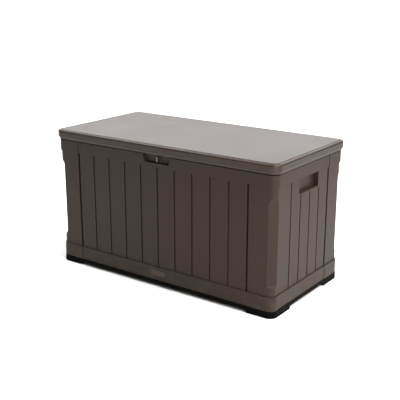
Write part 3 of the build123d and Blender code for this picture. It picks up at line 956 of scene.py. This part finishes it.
@dataclass
class Hinges:
    """Three pinned hinges across the back. Millimetres."""

    places: tuple[float, float, float] = (-430.0, 0.0, 430.0)
    axis_y: float = 319.0
    axis_z: float = 637.0
    knuckle: float = 7.0
    wall: float = 306.5
    skirt: float = 311.0

    def build(self) -> None:
        """Builds leaves, pins and screws."""
        names = ("left", "middle", "right")
        for name, x in zip(names, self.places):
            self.body_leaf(f"hinge_leaf_body_{name}", x, f"hinge_body_{name}")
            self.lid_leaf(f"hinge_leaf_lid_{name}", x, f"hinge_lid_{name}")
        pins = []
        for x in self.places:
            pin = Bench.rod("pin", (x, self.axis_y, self.axis_z), 2.5, 79, 0, 24)
            pins.append(Bench.soften(pin, 0.6, 2))
        Bench.deliver(Bench.join("pins", *pins), Finish.ZINC, "box", "steel", "hinge_pins")
        body = Screws(2.0, 4.0, 2.5)
        lid = Screws(1.75, 3.5, 2.0)
        on_wall = [body.make((x + s * 28, self.wall + 3, 607), 1, 1) for x in self.places for s in (-1, 1)]
        Bench.deliver(Bench.join("wall_screws", *on_wall), Finish.ZINC, "box", "steel", "hinge_body_screws")
        on_lid = [lid.make((x + s * 31, self.skirt + 2.5, 647), 1, 1) for x in self.places for s in (-1, 1)]
        Bench.deliver(Bench.join("lid_screws", *on_lid), Finish.ZINC, "lid", "steel", "hinge_lid_screws")

    def barrel(self, x: float, width: float) -> bpy.types.Object:
        """A knuckle with its bore."""
        ring = Bench.rod("knuckle", (x, self.axis_y, self.axis_z), self.knuckle, width, 0, 32)
        bore = Bench.rod("bore", (x, self.axis_y, self.axis_z), 2.53, width + 4, 0, 24)
        return Bench.work(ring, Cut.AWAY, bore)

    def body_leaf(self, name: str, x: float, node: str) -> None:
        """Leaf on the back wall."""
        plate = Bench.box(name, (x - 40, self.wall, 590), (x + 40, self.wall + 3, 632))
        Bench.round_edges(plate, 1, 5, 6)
        for side in (-1, 1):
            middle = x + side * 29.5
            arm = Bench.box("arm", (middle - 9.5, self.wall + 1, 630), (middle + 9.5, self.axis_y, 635))
            Bench.work(arm, Cut.AWAY, Bench.rod("bore", (middle, self.axis_y, self.axis_z), 5.0, 30, 0, 24))
            Bench.work(plate, Cut.TOGETHER, arm, self.barrel(middle, 19))
        Bench.soften(plate, 0.5, 2)
        Bench.deliver(plate, Finish.WALL, "box", "wall_resin", node)

    def lid_leaf(self, name: str, x: float, node: str) -> None:
        """Leaf on the lid's skirt."""
        plate = Bench.box(name, (x - 40, self.skirt, 642.3), (x + 40, self.skirt + 2.5, 651.7))
        Bench.round_edges(plate, 1, 3, 5)
        web = Bench.box("web", (x - 19, self.skirt, 640), (x + 19, self.axis_y - 2, 650))
        Bench.work(web, Cut.AWAY, Bench.rod("bore", (x, self.axis_y, self.axis_z), 5.0, 60, 0, 24))
        Bench.work(plate, Cut.TOGETHER, web, self.barrel(x, 38))
        Bench.soften(plate, 0.5, 2)
        Bench.deliver(plate, Finish.WALL, "lid", "wall_resin", node)


@dataclass
class Lock:
    """Padlock lugs in the latch recess, side by side. Millimetres."""

    back: float = -291.5
    front: float = -305.0
    hole: float = 620.0

    def lug(self, name: str, x: float, low: float, high: float) -> bpy.types.Object:
        """An upright lug with a hole for a padlock."""
        lug = Bench.box(name, (x - 2.3, self.front, low), (x + 2.3, self.back - 1, high))
        Bench.round_edges(lug, 0, 3.0, 5)
        hole = Bench.rod("hole", (x, (self.front + self.back - 2.5) / 2, self.hole), 3.5, 20, 0, 28)
        return Bench.work(lug, Cut.AWAY, hole)

    def build(self) -> None:
        """Builds the staple, the hasp, their screws and the blank badge."""
        staple = Bench.box("wall_staple", (-21, self.back - 2.5, 602), (21, self.back, 630))
        Bench.round_edges(staple, 1, 3, 5)
        lug = self.lug("lug", 2.7, 606, 633)
        for part, finish in ((staple, Finish.WALL), (lug, Finish.LUG_STEEL)):
            Bench.soften(part, 0.5, 2)
            part.data.materials.append(MATERIALS[finish])
        staple = Bench.join("wall_staple", staple, lug)
        Bench.deliver(staple, Finish.WALL, "box", "wall_resin", "lock_staple")
        hasp = Bench.box("lid_hasp", (-21, -306, 638), (21, self.back - 1, 641))
        Bench.work(hasp, Cut.TOGETHER, self.lug("lug", -2.7, 608, 640))
        Bench.soften(hasp, 0.5, 2)
        Bench.deliver(hasp, Finish.WALL, "lid", "wall_resin", "lock_hasp")
        small = Screws(1.5, 3.0, 2.0)
        on_wall = [small.make((x, self.back - 2.5, 616), 1, -1) for x in (-14, 14)]
        staple_fixings = Bench.join("staple_fixings", *on_wall)
        Bench.deliver(staple_fixings, Finish.DARK_STEEL, "box", "steel", "staple_screws")
        on_lid = [small.make((x, -299, 638), 2, -1) for x in (-14, 14)]
        Bench.deliver(Bench.join("hasp_fixings", *on_lid), Finish.DARK_STEEL, "lid", "steel", "hasp_screws")
        badge = Bench.box("blank_badge", (-42.5, -307.9, 55.5), (42.5, -306.5, 80.5))
        Bench.round_edges(badge, 1, 4, 6)
        field = Bench.box("field", (-39, -311, 59), (39, -307.3, 77))
        Bench.work(badge, Cut.AWAY, Bench.round_edges(field, 1, 2.5, 5))
        Bench.soften(badge, 0.3, 2)
        Bench.deliver(badge, Finish.BADGE, "box", "badge_resin", "badge")


@dataclass
class Bumpers:
    """Rubber pads that the lid comes down on. Millimetres."""

    places: tuple[Point, ...] = ((-400, -290), (400, -290), (-607, 0), (607, 0), (-220, 290), (220, 290))
    low: float = 636.0
    high: float = 640.6

    def build(self) -> None:
        """Builds all the pads as one piece."""
        pads = []
        for x, y in self.places:
            pad = Bench.rod("pad", (x, y, (self.low + self.high) / 2), 6.0, self.high - self.low, 2, 28)
            ring = Bench.rod("ring", (x, y, self.high), 3.0, 2.0, 2, 24)
            Bench.work(pad, Cut.AWAY, ring)
            pads.append(Bench.soften(pad, 0.7, 3))
        Bench.deliver(Bench.join("lid_pads", *pads), Finish.RUBBER, "box", "rubber", "lid_bumpers")


# ------------------------------------------------------------------ studio
@dataclass(frozen=True)
class Softbox:
    """A rectangular light in metres, aimed at a point."""

    name: str
    place: Point
    aim: Point
    width: float
    depth: float
    power: float
    tint: Colour = (1.0, 1.0, 1.0)

    def make(self) -> None:
        """Adds the light."""
        Bench.clear()
        bpy.ops.object.light_add(type="AREA", location=self.place)
        lamp = bpy.context.object
        lamp.name = self.name
        lamp.data.shape = "RECTANGLE"
        lamp.data.size, lamp.data.size_y = self.width, self.depth
        lamp.data.energy = self.power
        lamp.data.color = self.tint
        away = Vector(self.place) - Vector(self.aim)
        lamp.rotation_euler = away.to_track_quat("Z", "Y").to_euler()


@dataclass
class Studio:
    """Pale floor, soft lights and the camera."""

    eye: Point = (2.153, -2.944, 1.4404)
    turn: float = 35.892
    tilt: float = 16.58
    lens: float = 69.64
    sky: Colour = (0.92, 0.95, 1.0)
    sky_strength: float = 0.08

    def build(self) -> None:
        """Builds the whole studio."""
        self.camera()
        self.floor()
        world = bpy.data.worlds.new("studio")
        world.use_nodes = True
        world.node_tree.nodes["Background"].inputs["Color"].default_value = (*self.sky, 1.0)
        world.node_tree.nodes["Background"].inputs["Strength"].default_value = self.sky_strength
        bpy.context.scene.world = world
        bpy.context.scene.view_settings.view_transform = "Standard"
        for light in (
            Softbox("behind", (-2.7, 3.6, 2.6), (0, 0, 0.8), 5.0, 2.4, 108.0),
            Softbox("right", (3.0, -1.5, 1.8), (0.6, -0.25, 0.4), 2.0, 2.0, 96.0, (1.0, 0.98, 0.92)),
            Softbox("ridge", (0.4, -0.5, 3.4), (0.4, -0.3, 0.68), 5.0, 0.5, 60.0),
            Softbox("rim_left", (-2.1, -0.2, 3.3), (0.0, -0.3, 0.68), 1.3, 1.4, 66.0),
            Softbox("rim_back", (0.9, 3.0, 2.7), (0.6, 0.0, 0.68), 1.5, 1.0, 28.0),
            Softbox("corner", (3.0, -1.7, 1.9), (0.6, -0.3, 0.65), 0.5, 0.5, 12.0),
        ):
            light.make()
        self.sun()

    def sun(self) -> None:
        """Adds the broad even light that keeps the floor pale."""
        Bench.clear()
        bpy.ops.object.light_add(type="SUN", location=(2.0, 1.0, 5.0))
        sun = bpy.context.object
        sun.name = "sky_light"
        sun.data.energy = 4.0
        sun.data.angle = math.radians(60)
        sun.rotation_euler = Vector((0.45, 0.35, 0.85)).to_track_quat("Z", "Y").to_euler()

    def camera(self) -> None:
        """Adds the camera."""
        Bench.clear()
        bpy.ops.object.camera_add(
            location=self.eye, rotation=(math.radians(90 - self.tilt), 0, math.radians(self.turn))
        )
        camera = bpy.context.object
        camera.name = "camera"
        camera.data.lens = self.lens
        camera.data.sensor_width = 36.0
        camera.data.clip_end = 600.0
        bpy.context.scene.camera = camera

    def floor(self) -> None:
        """Adds the floor."""
        Bench.clear()
        bpy.ops.mesh.primitive_plane_add(size=400.0, location=(0, 0, 0))
        floor = Bench.settle("studio_floor")
        g = Graph("studio_floor")
        paper = g.noise(2.0, 2.0)
        floor.data.materials.append(
            g.surface(
                {
                    "Base Color": g.blend(paper, (0.90, 0.90, 0.90), (0.93, 0.93, 0.93)),
                    "Roughness": 0.9,
                    "Specular IOR Level": 0.1,
                }
            )
        )


def main() -> None:
    """Builds the studio and every sub-assembly in order."""
    Studio().build()
    for assembly in (Base(), Walls(), Lid(), Hinges(), Lock(), Bumpers()):
        assembly.build()
        LOG.info("%s done", type(assembly).__name__)


if __name__ == "__main__":
    main()
